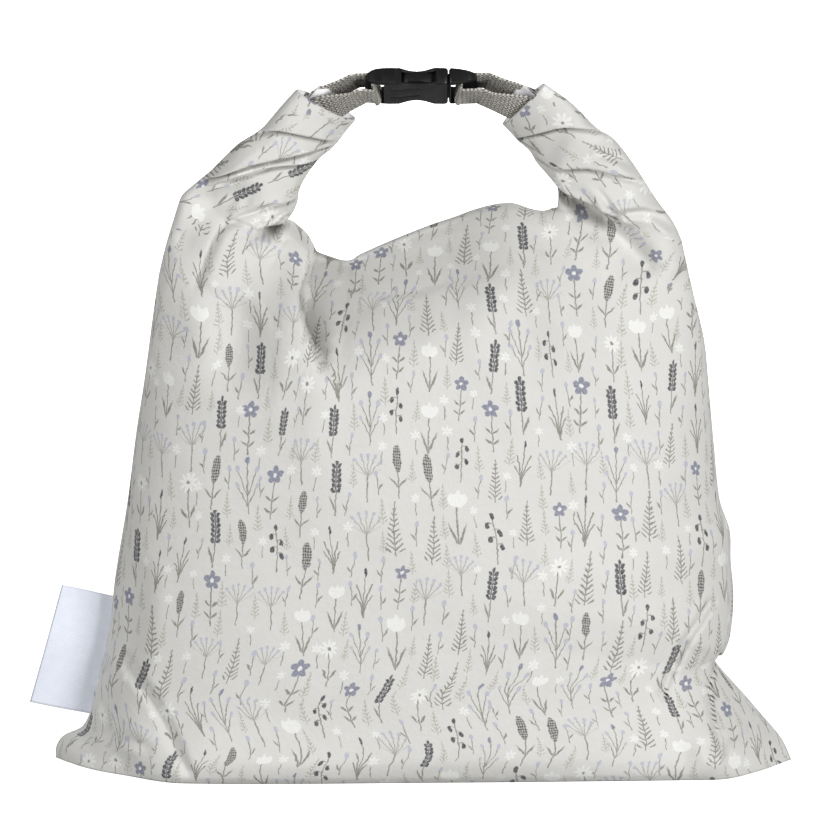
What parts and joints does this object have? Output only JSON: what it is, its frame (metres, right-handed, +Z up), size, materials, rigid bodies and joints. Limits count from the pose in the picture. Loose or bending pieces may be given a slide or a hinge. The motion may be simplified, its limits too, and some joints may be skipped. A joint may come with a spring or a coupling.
{
  "type": "reusable bread bag",
  "caption": "Roll-top cloth bread bag standing filled on its base, mouth rolled down and its ends buckled together above into a carry loop.",
  "frame": {"origin": "on the floor under the middle of the base", "axes": "+Z up, -Y the front that the picture shows, +X to the right as seen from the front"},
  "size_m": [0.3318, 0.1164, 0.309],
  "materials": {
    "printed_cloth": "matte woven cotton with a wildflower print",
    "webbing": "matte grey woven webbing",
    "black_plastic": "satin moulded black acetal",
    "satin_ribbon": "bare white satin",
    "lining_cloth": "matte white coated cloth"
  },
  "bodies": {
    "root": {"pouch": "printed_cloth", "rolled_mouth": "printed_cloth", "strap_left": "webbing", "strap_right": "webbing", "buckle_socket": "black_plastic", "buckle_plug": "black_plastic", "label": "satin_ribbon", "lining_left": "lining_cloth", "lining_right": "lining_cloth"}
  },
  "joints": []
}
